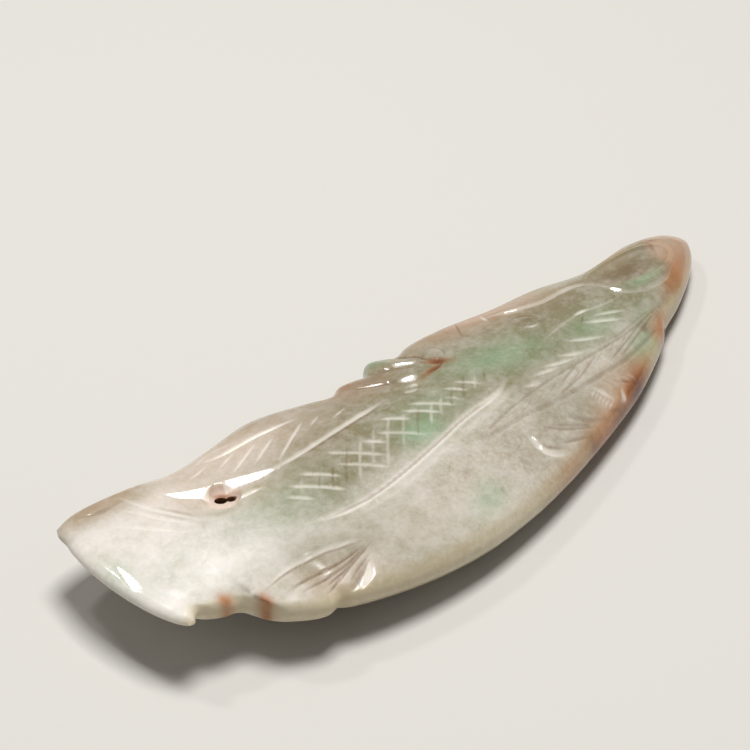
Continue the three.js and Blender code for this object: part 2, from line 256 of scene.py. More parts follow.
# %% Cut the back fin
before = len(strokes)
facet([(-29.4, 11.4), (-28.4, 10.1), (-27.6, 8.7), (-26.6, 7.6), (-25.4, 6.4)], meets=(-25.1, 7.9),
      slope=(0.2, 0.315), near=0.35)
facet([(-23.6, 6), (-22.7, 5.7), (-20.4, 4.9), (-18.4, 4.6), (-16.4, 4.4)], meets=(-20.4, 5.9),
      slope=(0.16, 0.3), near=0.8)
stroke([(-19.4, 5.1), (-17.9, 4.75), (-15.3, 4.55), (-12.5, 4.6), (-9.6, 4.7), (-6, 4.9), (-3.4, 4.8)],
       width=0.75, depth=0.2, tone=0.55, taper=3)
stroke([(-17, 4.25), (-12.6, 4.15), (-8, 4.3), (-3.6, 4.5)], width=0.4, depth=0.08, tone=-0.4, taper=3)
stroke([(-29.2, 6.7), (-27.6, 4.7), (-26.5, 3.9), (-25.2, 3.4), (-23.4, 3)], width=1.2, depth=0.12,
       tone=-0.15, far=0.3, taper=4)
stroke([(-24.4, 3.9), (-23.2, 3.9), (-22.3, 3.8), (-20.9, 3.4)], width=0.5, depth=0.2, tone=0.95, taper=1.5)
stroke([(-22.5, 11), (-20.4, 10.4), (-18.4, 10.2), (-15.9, 10), (-14.3, 9.75), (-11.2, 9.3)], width=0.6,
       depth=0.22, tone=1, taper=3.5)
stroke([(-23.4, 10.9), (-20.6, 11.5), (-17, 10.7)], width=0.4, depth=0.1, tone=0.2, taper=2)
spread([(-22.1, 10.1), (-19, 9.7), (-16.8, 9.1), (-14.9, 8.6), (-11.2, 8.4), (-9.5, 8), (-6.7, 7.1)],
       [(-25.1, 9.6), (-22.1, 8.7), (-21.8, 7.1), (-19.4, 6.6), (-17.4, 5.3), (-11.7, 7), (-9.3, 6.4)],
       width=0.42, depth=0.1, tone=0.55, taper=1.6)
print("back fin:", len(strokes) - before, "strokes;", len(facets), "facets so far")

# %% [markdown]
# ### Scales
# The carver hatched the flank in two directions at half a right angle to the fish and let the lines start and
# stop freely, so the net is open at its border. Turned by half a right angle the net is upright: each row and
# each column is then a place and two ends. The rows were cut last, so they are the bright ones.

# %% Cut the scales and the flank line
SCALE_ROWS = [(-13.9, -15.4, -12.3), (-12.4, -15.1, -9.5), (-10.7, -14.2, -9.9), (-9.2, -10.5, -5.4),
              (-7.6, -11.6, -5.8), (-5.9, -8.2, -5.6), (-4.6, -6.9, -1.9), (-2.4, -6.6, -3.3),
              (-1.3, -4.4, -0.3), (-0.1, -3.7, 1.2), (0.8, -0.1, 1.5), (2.2, -0.5, 2.3), (3.3, 0.7, 3.6)]
SCALE_COLUMNS = [(-13.75, -13.3, -11), (-12.05, -12.8, -10.3), (-10.8, -12.6, -9), (-9.55, -12, -6.8),
                 (-8.25, -11.3, -5.5), (-7, -9.4, -3.5), (-5.6, -9.4, -2), (-4.1, -6.8, -1.4),
                 (-2.7, -5.2, -0.6), (-1.4, -3.4, 0.4), (-0.45, -2, 1.2), (0.6, -0.8, 2.7), (1.8, 0.6, 4.9),
                 (2.9, 1.9, 4.7), (3.9, 3.4, 5.6)]
hand = np.random.default_rng(7)
before = len(strokes)


def unturned(right, up):
    """From the upright net back to the fish."""
    return (right + up) / math.sqrt(2), (up - right) / math.sqrt(2)


for up, start, end in SCALE_ROWS:
    bold = hand.uniform(0.75, 1.1)
    row = bow(unturned(start, up), unturned(end, up - 0.15), 0.12)
    stroke(row, width=0.55, depth=0.09 * bold, tone=0.5 * bold, taper=0.9)
for right, start, end in SCALE_COLUMNS:
    bold = hand.uniform(0.6, 1.1)
    column = bow(unturned(right, start), unturned(right, end), 0.1)
    stroke(column, width=0.4, depth=0.1 * bold, tone=hand.choice([0.3, -0.35]) * bold, taper=0.9)
stroke([(-21.3, -2.9), (-17.9, -3.9), (-14.4, -4.2), (-9, -4), (-4.5, -3.4), (-0.3, -2.7), (4.6, -2.3),
        (6.9, -1.5)], width=1.1, depth=0.24, tone=0.65, taper=4)
stroke([(-19.6, -3.45), (-14.4, -4.15), (-9, -3.9), (-4.5, -3.3), (0, -2.6), (4.4, -2.3)], width=0.4,
       depth=0.02, tone=-0.45, taper=3)
stroke([(-18, -4.9), (-11, -5.1), (-4, -4.3), (2.3, -3.5), (6.2, -2.8), (8, -2)], width=1.1, depth=0.14,
       tone=0.2, taper=4)
stroke([(-14.6, -4.2), (-14.1, -5.8)], width=0.4, depth=0.12, tone=0.6)
print("scales and flank:", len(strokes) - before, "strokes")

# %% [markdown]
# ### Belly fin, leaf and throat fin
# The belly fin is a small fan whose lines hold brown stain and painted shade, with a steep step to the body
# on its right.
# The leaf has a double midrib; the veins above it are broad and shine, the veins below it are thin and dark.
# The throat fin curls over the belly's edge in two scalloped folds with a scroll between them.

# %% Cut the belly fin
before = len(strokes)
stroke([(-29.9, -5.6), (-28.4, -5.7), (-26.8, -5.6), (-23, -6.1), (-20.9, -6.7), (-18.9, -7.3)], width=0.9,
       depth=0.14, tone=0.4, far=0.6, taper=2)
stroke([(-29.9, -5.9), (-26.8, -5.8), (-23, -6.3), (-20.9, -6.9), (-18.9, -7.4)], width=0.42, depth=0.12,
       tone=-0.55, taper=2)
for ray in ([(-18.8, -7.9), (-22, -8), (-25, -7.6), (-28.5, -7.3)],
            [(-18.7, -8), (-22.1, -8.5), (-25, -8.4), (-27.5, -8.2)],
            [(-19.6, -8.2), (-22.3, -8.8), (-25.4, -9)],
            [(-17.8, -8), (-20.9, -8.6), (-23.1, -9.1), (-26, -9.7)],
            [(-18.9, -8.8), (-20.8, -9.3), (-22.4, -9.8), (-23.3, -10.2)]):
    stroke(ray, width=0.34, depth=0.13, tone=-0.5, taper=2)
facet([(-18.6, -8.9), (-21, -9.9), (-22.6, -10.4)], meets=(-20.2, -10.3), slope=(0.34, 0.1), deepest=0.5,
      wide=1.1, near=0.4, tone=0.55)
facet([(-21.4, -10.05), (-22.4, -10.35), (-23.4, -10.6)], meets=(-21.9, -10.85), slope=(0.215, 0.265),
      deepest=0.4, wide=0.6, near=0.3)
stroke([(-31.1, -5.1), (-30.4, -5.3)], width=0.7, depth=0.1, tone=0.7, taper=0.5)
spread([(-28.2, -8.5), (-25.6, -9.8)], [(-28.4, -9.1), (-25.9, -10.2)], width=0.4, depth=0.12, tone=-0.4)
print("belly fin:", len(strokes) - before, "strokes")

# %% Cut the leaf
before = len(strokes)
stroke([(28.6, -2.8), (23.3, -3.9), (18.3, -4.2), (12.1, -4.1), (8.6, -4.2), (3.7, -4.7), (-1.4, -5.6)],
       width=0.42, depth=0.1, tone=-0.3, taper=3)
stroke([(26.8, -2.9), (22.4, -3.6), (20.9, -3.8), (18.5, -3.7)], width=0.36, depth=0.06, tone=-0.25, taper=2)
stroke([(26, -4.9), (22.6, -5.7), (19.5, -6.3), (16.4, -6.5), (11.3, -6.5), (8.1, -6.4), (5.1, -6.1),
        (1, -5.9), (-1.9, -5.6)], width=0.7, depth=0.18, tone=-0.15, taper=3)
for vein in ([(24.3, -1.9), (22.5, -1.1), (20.6, -0.4)], [(23.2, -2.6), (21, -1.5), (19, -0.5)],
             [(19.6, -3.2), (17.7, -2.4), (15.6, -1.3)], [(16.5, -3.6), (14.8, -3), (13.2, -2.2)],
             [(14.9, -3.6), (12.7, -3), (10.8, -2.4)], [(12.7, -3.5), (11, -3.1), (9.1, -2.7)],
             [(9.5, -3.9), (8.4, -3.6), (7.2, -3.3)]):
    stroke(vein, width=0.55, depth=0.15, tone=0.5, taper=1.6)
for vein in ([(27, -3.3), (23.1, -4.6), (19, -5.9)], [(25.8, -3.2), (22.2, -4.4), (17.6, -5.7)],
             [(22.1, -4), (20, -4.8)], [(17.1, -4.3), (13.8, -5.4), (9.4, -6.1)],
             [(14.2, -4.9), (11.9, -5.6), (9.6, -6.2)], [(14.8, -4), (13.1, -4.5), (10.8, -5.1)]):
    stroke(vein, width=0.32, depth=0.04, tone=-0.4)
for share in np.linspace(0.05, 0.95, 11):
    root = np.array([27, -3.4]) * (1 - share) + np.array([7, -4.5]) * share
    stroke(bow(root, root + (-3.4 - 1.2 * share, -1.5), 0.2), width=0.3, depth=0.02, tone=-0.18, taper=2)
stroke([(25.8, 0), (23.8, 0), (21.8, 0.3), (20.4, 0.7), (18.5, 0.7), (17, 0.6), (14.9, 0.3), (13.6, -0.1)],
       width=0.4, depth=0.08, tone=0.2, taper=3)
stroke([(21.5, 0.4), (20.4, 0.7), (18.9, 0.8)], width=0.5, depth=0.12, tone=0.7)
stroke([(20.5, 0.4), (19.7, 0), (18.6, -0.7)], width=0.36, depth=0.03, tone=-0.5)
print("leaf:", len(strokes) - before, "strokes")

# %% Cut the throat fin
before = len(strokes)
stroke([(3.2, -7.5), (3, -8.9), (3.2, -10.2), (4, -11), (5.4, -11.5)], width=1.1, depth=0.26, tone=0.5,
       far=0.7, taper=2)
for line in ([(5.2, -8), (6.7, -9.2), (10.5, -10.8)], [(5.2, -10.2), (7.1, -10.8), (8.8, -11.1)],
             [(6, -8.2), (8.2, -9.5), (10.4, -10.5)], [(3.4, -8.6), (3.9, -10), (5.7, -11.1)]):
    stroke(line, width=0.42, depth=0.12, tone=-0.35)
stroke([(9.1, -7), (8.8, -7.9), (8.8, -8.7), (9.5, -9.4), (10.3, -10), (12.6, -10.6)], width=0.9, depth=0.2,
       tone=-0.35, taper=3)
stroke([(13.1, -6.9), (13.7, -7.8), (14, -8.6), (14.2, -9.4)], width=0.9, depth=0.22, tone=0.45, far=0.6,
       taper=1.5)
stroke([(16.2, -8.5), (15.9, -8.9), (15.6, -9.4), (14.9, -9.6)], width=0.7, depth=0.2, tone=0.55, taper=1)
spread([(11.3, -8.4), (12.9, -9.9), (16.1, -7.6)], [(12, -9.4), (14.8, -10.2), (18.4, -8.8)], width=0.45,
       depth=0.1, tone=-0.5)
for share in np.linspace(0, 1, 6):
    top = np.array([13.7, -7.5]) * (1 - share) + np.array([14.3, -9.3]) * share
    stroke(bow(top, top + (-1.5, -0.6), -0.15), width=0.36, depth=0.06, tone=0.25, taper=0.8)
for share in np.linspace(0, 1, 5):
    top = np.array([14.4, -7]) * (1 - share) + np.array([17.6, -7.4]) * share
    stroke(bow(top, top + (0.9, -1.3), 0.2), width=0.4, depth=0.05, tone=0.15, taper=0.8)
print("throat fin:", len(strokes) - before, "strokes")

# %% [markdown]
# ### Bud, brow and lip
# Two curled leaves and a round bud sit on the back, parted by cuts that hold red-brown stain.
# A sloping cut inside the brow shines along its length, and another parts the lip from the mouth's hollow.
# The small facets by the bud have the one slope that mirrors the overhead light to the camera.

# %% Cut the bud, the brow and the lip
before = len(strokes)
stroke([(-4.6, 9.8), (-3.2, 8.4), (-1.1, 6.9), (0.2, 5.6)], width=0.9, depth=0.28, tone=-0.15, taper=2)
stroke([(-1.3, 10.6), (-0.4, 9.4), (1.4, 7.6), (3.4, 6.2)], width=0.9, depth=0.28, tone=-0.25, taper=2)
GLEAM_SLOPE = (0.258, 0.306)
for line, meets, deepest, wide in (([(-0.7, 6.5), (0.1, 5.5), (1, 4.8)], (0.7, 6), 0.4, 0.9),
                                   ([(1.1, 8.4), (2.3, 7.8), (3.4, 7.3)], (2.5, 8.3), 0.3, 0.7),
                                   ([(-0.9, 4.9), (-0.3, 4.4), (0.3, 4)], (-0.1, 4.7), 0.3, 0.6),
                                   ([(-1.5, 4.2), (-0.9, 3.9), (-0.2, 3.5)], (-0.7, 4.15), 0.3, 0.5)):
    facet(line, meets, GLEAM_SLOPE, deepest, wide, near=0.4)
stroke([(2.4, 10.6), (3.4, 9), (4.1, 7.7), (4.1, 6.9), (4.6, 5.8), (5.5, 5.6)], width=0.5, depth=0.16,
       tone=-0.6, taper=2)
stroke([(5.4, 5.5), (4.2, 4.9), (2, 4.6)], width=0.6, depth=0.2, tone=-0.8, taper=1.5)
stroke([(5.3, 5.4), (6, 6.1), (6.1, 7.1), (5.6, 7.9), (4.9, 7.8)], width=0.36, depth=0.06, tone=-0.4, taper=1)
stroke([(13.4, 7.9), (15.9, 6.4), (18.6, 5), (21.2, 4.8), (23.4, 4.4), (24.5, 3.5), (24.9, 2.8)], width=1,
       depth=0.12, tone=0.3, far=0.6, taper=3)
facet([(15, 6.8), (15.9, 6.3), (17, 5.75)], meets=(16.3, 6.6), slope=(0.3, 0.295), deepest=0.3, wide=0.7,
      near=0.7, tone=0.2)
stroke([(24.5, 3.5), (25.1, 2.2), (25.6, 0.9), (26.5, 0), (28.3, -0.7), (29.5, -0.7), (31.8, -0.6),
        (33.4, 0.2)], width=0.9, depth=0.3, tone=0.2, far=0.7, taper=3)
stroke([(34, 5.4), (34.5, 4), (34.1, 2.6)], width=0.5, depth=0.1, tone=-0.5)
stroke([(14, 4.9), (15.1, 4.8), (16, 4.1), (16.3, 2.9)], width=0.4, depth=0.08, tone=-0.35)
stroke([(14.1, 4.6), (14.1, 3.7), (14.6, 3)], width=0.4, depth=0.06, tone=-0.3)
stroke([(14.3, 3), (14.9, 2.5), (15.8, 2.3)], width=0.5, depth=0.05, tone=0.7)
stroke([(12.1, 10.9), (10, 7.9), (9.1, 6.5)], width=0.36, depth=0.03, tone=-0.5)
stroke([(8.5, 8.2), (9.1, 8.7), (8.7, 9.4)], width=0.36, depth=0.03, tone=-0.4)
stroke([(13.7, 8.6), (13, 6.7)], width=0.5, depth=0.12, tone=0.6)
print("bud and head:", len(strokes) - before, "strokes;", len(strokes), "in all")

# %% [markdown]
# ## How deep is the net cut here?
# For each stroke only the places in its box are asked. The nearest piece of its curve gives the distance, the
# side and the share of the way, and from these come the V and its pointed ends.
# A facet asks how far the skin stands above its plane. Where cuts cross, the deeper one counts.

# %% Depth and tone at every place of the net
def beside(line, reach):
    """Places within reach of a line, each with its distance, side, way to the nearer end and foot on it."""
    (x0, y0), (x1, y1) = line.min(0) - reach, line.max(0) + reach
    near = np.nonzero((px > x0) & (px < x1) & (py > y0) & (py < y1))
    p = np.stack([px[near], py[near]], -1)[:, None]
    a, d = line[:-1], np.diff(line, axis=0)
    length = np.linalg.norm(d, axis=1)
    t = np.clip(((p - a) * d).sum(-1) / length ** 2, 0, 1)
    foot = a + t[..., None] * d
    distance = np.linalg.norm(p - foot, axis=-1)
    best, row = distance.argmin(1), np.arange(len(p))
    off = p[:, 0] - foot[row, best]
    left = d[best, 0] * off[:, 1] - d[best, 1] * off[:, 0] > 0
    way = np.concatenate([[0], np.cumsum(length)])
    gone = way[best] + t[row, best] * length[best]
    return near, distance[row, best], left, np.minimum(gone, way[-1] - gone), foot[row, best]


def deepen(old, near, new):
    """Keeps the larger value at each of these places."""
    old[near] = np.maximum(old[near], new)


END_DEPTH, END_WIDTH, ROUNDING, TONE_SPREAD = 0.08, 0.45, 0.4, 1.6
FACET_END, FACET_PALE = 0.3, 0.12
depth, light, brown = (np.zeros(px.shape) for _ in range(3))
for s in strokes:
    near, distance, left, to_end, _ = beside(s["line"], s["width"])
    point = np.clip(to_end / s["taper"] + END_DEPTH, 0, 1)
    side = s["width"] * np.where(left, s["far"], 1 - s["far"]) * (END_WIDTH + (1 - END_WIDTH) * point)
    vee = np.clip(1 - distance / side, 0, 1)
    vee = (1 - ROUNDING) * vee + ROUNDING * vee * vee * (3 - 2 * vee)
    deepen(depth, near, s["depth"] * vee * point)
    # Pale paint in a cut is ground stone and painted highlight; brown paint is stain and painted shade.
    tone = light if s["tone"] > 0 else brown
    deepen(tone, near, np.minimum(1, TONE_SPREAD * vee) * point * abs(s["tone"]))
for f in facets:
    near, distance, left, to_end, foot = beside(f["line"], f["wide"])
    (mx, my), (sx, sy) = f["meets"], f["slope"]
    level = face.ravel()[((px - mx) ** 2 + (py - my) ** 2).argmin()]
    at = np.where(left[:, None], np.stack([px[near], py[near]], -1), foot)
    plane = level + sx * (at[:, 0] - mx) + sy * (at[:, 1] - my)
    ground = np.clip(face[near] - plane, 0, f["deepest"]) * np.clip(to_end / FACET_END, 0, 1)
    border = np.where(left, distance < f["wide"], np.clip(1 - distance / f["near"], 0, 1))
    deepen(depth, near, ground * border)
    # A facet's tone paints its ground side pale: ground stone and painted highlight where it mirrors a light.
    deepen(light, near, f["tone"] * np.where(left, np.clip(ground / FACET_PALE, 0, 1), 0))
print("deepest cut", round(depth.max(), 2), "mm;", round(100 * (depth > 0.02).mean()), "% of the face is cut")

# %% [markdown]
# ## Hollows and beads
# Small round wheels scoop the mouth, the dish round the eyelet and the pit beside the bud.
# Each is a turned oval: deepest in the middle, or flat-floored with a steep wall where the grit was coarse.
# The bead of the bud and the eye are the same oval, raised.

# %% Ovals
HOLLOWS = {
    "mouth": {"at": (30.2, 3.2), "radii": (5.2, 2.45), "turn": -7, "depth": 0.85, "flat": 6},
    "dish": {"at": (-24.6, 5.5), "radii": (1.95, 1.85), "turn": 0, "depth": 0.95, "flat": 6},
    "pit": {"at": (4.3, 5.6), "radii": (0.9, 0.5), "turn": -50, "depth": 0.22, "flat": 2},
}
BEADS = {
    "bud": {"at": (5.2, 6.8), "radii": (1.15, 1.05), "turn": 0, "depth": 0.09, "flat": 7},
    "eye": {"at": (15.2, 3.6), "radii": (1.45, 0.85), "turn": -45, "depth": 0.12, "flat": 2.5},
}


def oval(x, y, at, radii, turn, depth, flat):
    """Depth of one hollow at these places: 0 outside it."""
    c, s = math.cos(math.radians(turn)), math.sin(math.radians(turn))
    u = ((x - at[0]) * c + (y - at[1]) * s) / radii[0]
    v = ((y - at[1]) * c - (x - at[0]) * s) / radii[1]
    return depth * np.clip(1 - np.hypot(u, v) ** flat, 0, 1)


def hand_worn(x, y):
    """The slight unevenness of a form that was ground by hand, a few hundredths of a millimetre."""
    dimples = np.sin(x / 2.1 + 0.6 * np.sin(y / 2.7)) * np.sin(y / 1.7 + 1.3)
    swell = np.sin(x / 4.3 + y / 3.1)
    return 0.035 * dimples + 0.05 * swell


UNCUT_RIM = 0.3
hollowed = np.max([oval(px, py, **h) for h in HOLLOWS.values()], axis=0)
raised = np.max([oval(px, py, **b) for b in BEADS.values()], axis=0)
carving = np.maximum(depth, hollowed) - raised + hand_worn(px, py)
inside = np.clip(full / UNCUT_RIM, 0, 1)
face = face - inside * carving
print("deepest hollow", round(hollowed.max(), 2), "mm")

# %% [markdown]
# ## One closed skin
# The carved face is a fine net of quads. The underside is plain, so it keeps every step along the fish but
# only some of the rows across it, crowded at the rim. Both nets share the rim, and at the two ends a wide
# cell takes up every fine point, so no gap is left. One skin without a seam is what a boolean needs next.

# %% Number the places and sew the two nets together
HALF_ROWS = (0, 1, 2, 3, 4, 6, 8, 11, 15, 20, 28, 38, 50, 66, 84)
rows = sorted({*HALF_ROWS, *(STRIPS_ACROSS - row for row in HALF_ROWS)})
top_id = np.arange(face.size).reshape(face.shape)
under_id = top_id[:, rows].copy()
inner = under_id[1:-1, 1:-1]
under_places = np.stack([px, py, keel], -1)[1:-1, rows[1:-1]].reshape(-1, 3)
under_id[1:-1, 1:-1] = face.size + np.arange(inner.size).reshape(inner.shape)
places = np.vstack([np.stack([px, py, face], -1).reshape(-1, 3), under_places])

quads = np.stack([top_id[:-1, :-1], top_id[1:, :-1], top_id[1:, 1:], top_id[:-1, 1:]], -1).reshape(-1, 4)
faces = quads.tolist()
for i in range(STRIPS_ALONG):
    for k, (row, next_row) in enumerate(zip(rows, rows[1:])):
        at_tail = top_id[0, row + 1:next_row][::-1] if i == 0 else []
        at_head = top_id[-1, row + 1:next_row] if i == STRIPS_ALONG - 1 else []
        ring = [under_id[i, k], under_id[i + 1, k], *at_head,
                under_id[i + 1, k + 1], under_id[i, k + 1], *at_tail]
        faces.append([int(v) for v in reversed(ring)])

fish_mesh = bpy.data.meshes.new("jade_fish_carved")
fish_mesh.from_pydata((places * MM).tolist(), [], faces)
fish = bpy.data.objects.new("jade_fish_carved", fish_mesh)
bpy.context.scene.collection.objects.link(fish)
print("skin:", len(places), "places,", len(faces), "faces")

# %% [markdown]
# ## Where the stone changes
# Jade is coloured in clouds. Each cloud is kept as a weight on the mesh's points, named for what it is on the
# stone, so it stays in place from every side and the material only has to blend. A few weights paint light
# instead: a glow on the thin rim, and highlight and shade in the cuts.
# A cloud is a turned oval with a soft border; the material roughens that border with noise.
# The ground itself changes too: milky at the tail, greyer towards the head, and greyest above the flank
# line, but not where a pale cloud lies. Along the fish this is partly the stone's tone and partly painted
# light, brightest at the tail. Two more weights are for the polish: frosted and unpolished places.
# The weights are set before the drilling, so the drill's own walls have none: "weathered" tells them apart.

# %% Clouds: middle, half lengths, turn in degrees and strength
CLOUDS = {
    "green": [((-4.6, -1.2), (2.6, 1.8), 0, 0.6), ((-2, 0.5), (5, 2.5), 0, 0.25),
              ((9, 1.4), (6, 2.4), -20, 0.45), ((11.2, 0.8), (1.6, 1), 0, 0.35),
              ((19.5, -1.4), (4, 2), 0, 0.35), ((22.4, -6.3), (2.6, 1.5), 25, 0.6),
              ((25.5, -3.4), (3, 1.4), 20, 0.25), ((-5.6, -11), (2.4, 1.6), 20, 0.35),
              ((0.8, 11.4), (1.8, 1.6), 0, 0.5), ((-38.5, 4), (1.5, 3), 0, 0.15),
              ((-21, 0.5), (6, 3.4), -20, 0.16), ((24, 7), (7, 1.6), -12, 0.25),
              ((29.4, 0.5), (2.6, 0.8), 0, 0.4)],
    "pale": [((-20, 9.5), (7, 3.6), 0, 0.75), ((-12, 10.5), (4, 2.4), -10, 0.3),
             ((16, -5), (7, 1.3), 4, 0.45)],
    # The grey and dark russet ovals on the mouth's hollow and on the eye paint them darker than the stone
    # round them.
    "grey": [((-33.5, 13), (6, 2.2), -5, 1), ((-21, 7.2), (6, 1.2), -12, 0.3),
             ((-32.4, -4.2), (3, 1.2), -20, 0.4), ((30, 3.2), (4.6, 2.4), -7, 1.1),
             ((15.2, 3.6), (1.6, 1), -45, 1.15), ((-26, 1), (3, 2.5), 0, 0.3),
             ((-22.5, -7.2), (7.5, 4.2), -15, 0.82)],
    "tan": [((-20, 10), (14, 5), 0, 0.45), ((-33, 12.8), (6, 2.2), -5, 0.5), ((-25, 6.5), (6, 3), -25, 0.5),
            ((-4, 9.2), (5, 3), -20, 0.4), ((15, 8.4), (10, 2.6), -10, 0.9), ((29, 6.2), (8, 1.4), -2, 0.5),
            ((-7, -9), (16, 5), 0, 0.15), ((15.5, -9), (5, 2.5), 25, 0.5),
            ((-23, -9.4), (6, 2.2), -20, 0.35)],
    "russet": [((37.9, 1.4), (2.6, 1), 42, 0.28), ((33, -0.8), (3.6, 1), 27, 0.65),
               ((17.6, -9.3), (5, 1.3), 27, 1.1), ((12, -11.1), (6, 1.2), 16, 1),
               ((5.5, -12.6), (4, 0.9), 10, 0.6), ((26.6, -5), (2.4, 1.3), 30, 0.9),
               ((-30.6, -6.7), (0.7, 0.9), 0, 0.95), ((-33.2, -4.2), (0.8, 0.8), 0, 0.8),
               ((-4.2, 10.8), (2, 1.3), 0, 0.4), ((4.5, 5.6), (1.2, 0.5), -50, 0.9),
               ((3, 4.8), (1.8, 0.4), 8, 0.7), ((-24, 6.05), (1, 0.4), -45, 0.8)],
    "dark_russet": [((30, 3.2), (4.8, 2.2), -7, 0.42), ((15.2, 3.6), (1.3, 0.8), -45, 0.15),
                    ((-2.5, 8.6), (3.5, 2), -30, 0.22), ((16, 8), (6, 2), -15, 0.14),
                    ((18.1, -9.3), (2.2, 1), 27, 1), ((14.5, -10.6), (2.4, 0.8), 20, 0.8),
                    ((8.9, -12), (1.1, 0.8), 15, 0.5), ((4.6, 5.5), (0.9, 0.4), -50, 0.8),
                    ((3, 4.8), (1.6, 0.3), 10, 0.5), ((34.9, 5), (0.4, 1.6), 10, 0.4),
                    ((24.3, -4.3), (0.7, 0.4), 30, 0.4), ((-24, 6.05), (0.9, 0.26), -45, 0.6)],
    "unpolished": [((-31, -5), (4.6, 4), -30, 1.4), ((-35.3, -3), (3, 1.6), -20, 1.3),
                   ((-26, -9.2), (3.2, 1.6), -15, 1.1), ((-20.4, -9.6), (1.6, 0.8), 20, 0.9)],
    "crazed": [((2, -8), (12, 6), 0, 1), ((14, 0), (14, 7), 0, 0.8), ((-8, 0), (12, 4), 0, 0.6)],
}


def eased(value, low, high):
    """0 below low, 1 above high, smooth between."""
    t = np.clip((value - low) / (high - low), 0, 1)
    return t * t * (3 - 2 * t)


def cloud(x, y, patches):
    """The strongest of these soft ovals at each place."""
    weight = np.zeros(x.shape)
    for at, radii, turn, strength in patches:
        c, s = math.cos(math.radians(turn)), math.sin(math.radians(turn))
        u, v = (x - at[0]) * c + (y - at[1]) * s, (y - at[1]) * c - (x - at[0]) * s
        weight = np.maximum(weight, strength * np.exp(-((u / radii[0]) ** 2 + (v / radii[1]) ** 2)))
    return weight


# %% Weights on the points
MOUTH_WITH_LIP = {**HOLLOWS["mouth"], "radii": (5.7, 3)}
FROST_STEP, DULL_STEP, MOUTH_DULLNESS = 0.25, 0.15, 0.8
GREY_MOST, BELLY_GREY, BELLY_GREY_BY_TAIL, BELLY_GREY_BY_HEAD = 0.93, 0.42, 0.2, 0.38
LIP_TAN, LIP_FROM, LIP_FULL, LIP_SLANT, GLOW_RIM_MM = 0.7, 32.8, 34.2, 0.15, 0.9


def on_face(values):
    """Weights of the carved face, with none for the underside."""
    return np.concatenate([values.ravel(), np.zeros(len(under_places))])


x, y = places[:, 0], places[:, 1]
weights = {name: cloud(x, y, patches) for name, patches in CLOUDS.items()}
weights["ground_cut_and_glint"], weights["stain_and_shade_cut"] = on_face(light), on_face(brown)
weights["tan"] = np.maximum(weights["tan"], LIP_TAN * eased(x - LIP_SLANT * y, LIP_FROM, LIP_FULL))
weights["frosted"] = on_face(np.clip(oval(px, py, **HOLLOWS["dish"]) / FROST_STEP, 0, 1))
dull_mouth = on_face(np.clip(oval(px, py, **MOUTH_WITH_LIP) / DULL_STEP, 0, MOUTH_DULLNESS))
weights["unpolished"] = np.maximum(weights["unpolished"], dull_mouth)
# The grey grows from the milky tail to the middle of the fish, and fades below the flank line.
# Along the fish it is partly the stone's tone and partly painted light falloff, brightest at the tail.
belly_grey = BELLY_GREY + BELLY_GREY_BY_TAIL * eased(x, -8, -20) + BELLY_GREY_BY_HEAD * eased(x, -5, 12)
ground_grey_and_falloff = GREY_MOST * eased(x, -32, -15) * (belly_grey + (1 - belly_grey) * eased(y, -4.5, 0))
weights["grey"] = np.maximum(weights["grey"], ground_grey_and_falloff * (1 - weights.pop("pale")))
# Painted glow: the belly's thin rim is painted honey, for light that shines through the thin stone.
to_belly = across * np.linalg.norm(at_share(edges["back"], along) - at_share(edges["belly"], along), axis=-1)
to_belly = np.concatenate([to_belly.ravel(), to_belly[1:-1, rows[1:-1]].ravel()])
weights["thin_rim_glow"] = np.exp(-(to_belly / GLOW_RIM_MM) ** 2)
weights["weathered"] = np.ones(len(places))
for name, weight in weights.items():
    fish_mesh.attributes.new(name, "FLOAT", "POINT").data.foreach_set("value", weight.astype(np.float32))
print("weights:", {name: round(float(w.mean()), 3) for name, w in weights.items()})

# %% [markdown]
# ## Drilling the eyelet
# The eyelet was drilled twice, close together: the two bores are parted by a thin web at the top and run
# into one another lower down. A boolean with two slanted rods does what the drill did, and the web stays
# by itself.

# %% Two slanted rods, cut from the fish
DRILLS = [{"at": (-24.5, 5.75), "radii": (0.62, 0.46), "slant": -4},
          {"at": (-23.75, 5.2), "radii": (0.48, 0.36), "slant": 8}]
DRILL_SIDES, DRILL_LENGTH, DRILL_MIDDLE = 28, 30, 7.5
CREASE_DEGREES = 55


def rod(at, radii, slant):
    """A closed oval rod as long as the drill's way, which leans to the head by slant degrees."""
    turn = np.linspace(0, 2 * math.pi, DRILL_SIDES, endpoint=False)
    rings = []
    for z in (-DRILL_LENGTH / 2, DRILL_LENGTH / 2):
        lean = math.tan(math.radians(slant)) * z
        x, y = unturned(radii[0] * np.cos(turn), radii[1] * np.sin(turn))
        rings.append(np.stack([at[0] + lean + x, at[1] + y, np.full(DRILL_SIDES, DRILL_MIDDLE + z)], -1))
    n = DRILL_SIDES
    sides = [(k, (k + 1) % n, n + (k + 1) % n, n + k) for k in range(n)]
    ends = [tuple(range(n))[::-1], tuple(range(n, 2 * n))]
    mesh = bpy.data.meshes.new("drill")
    mesh.from_pydata((np.vstack(rings) * MM).tolist(), [], sides + ends)
    tool = bpy.data.objects.new("drill", mesh)
    bpy.context.scene.collection.objects.link(tool)
    return tool


for drill in DRILLS:
    tool = rod(**drill)
    bore = fish.modifiers.new("bore", "BOOLEAN")
    bore.operation, bore.object, bore.solver = "DIFFERENCE", tool, "MANIFOLD"
    bpy.context.view_layer.update()
    bored = bpy.data.meshes.new_from_object(fish.evaluated_get(bpy.context.evaluated_depsgraph_get()))
    fish.modifiers.clear()
    fish.data = bored
    bpy.data.objects.remove(tool)
fish.data.name = "jade_fish_carved"
fish.data.polygons.foreach_set("use_smooth", np.ones(len(fish.data.polygons), bool))
fish.data.set_sharp_from_angle(angle=math.radians(CREASE_DEGREES))
triangles = sum(len(p.vertices) - 2 for p in fish.data.polygons)
print("drilled:", len(fish.data.polygons), "faces,", triangles, "triangles")

